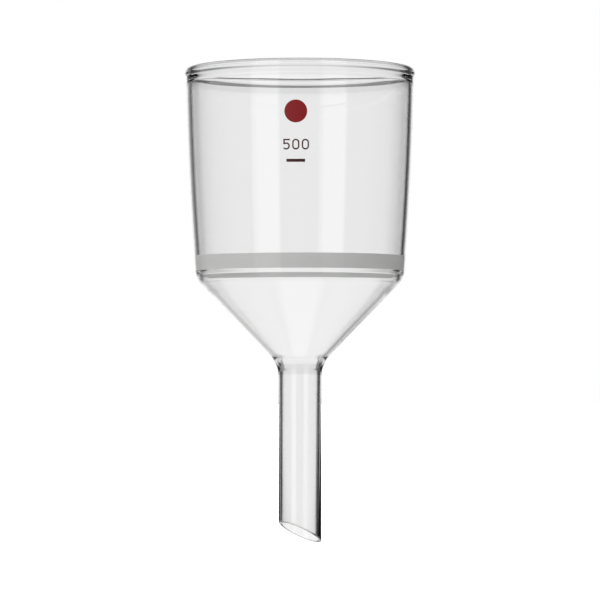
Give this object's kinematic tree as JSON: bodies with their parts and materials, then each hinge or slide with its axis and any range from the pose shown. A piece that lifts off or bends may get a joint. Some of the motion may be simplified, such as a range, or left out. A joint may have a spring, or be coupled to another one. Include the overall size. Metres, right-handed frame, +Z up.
{
  "type": "buchner funnel",
  "caption": "All-glass fritted filter funnel: tapered bowl with flared rim, fused sintered-glass disc, collecting cone and straight stem with a slanted drip tip.",
  "frame": {"origin": "on the funnel's axis, at the top of the straight stem, where the cone's neck fillet ends", "axes": "+Z up along the axis out of the bowl's mouth; -Y is the printed front; +X to the right of the front"},
  "size_m": [0.1024, 0.1022, 0.2113],
  "materials": {
    "clear_glass": "gloss",
    "sintered_glass": "matte",
    "red_enamel": "satin",
    "print_enamel": "satin"
  },
  "bodies": {
    "root": {"bowl": "clear_glass", "fritted_disc": "sintered_glass", "cone": "clear_glass", "stem": "clear_glass", "emblem_mark": "red_enamel", "capacity_mark": "print_enamel", "grade_mark": "print_enamel"}
  },
  "joints": []
}
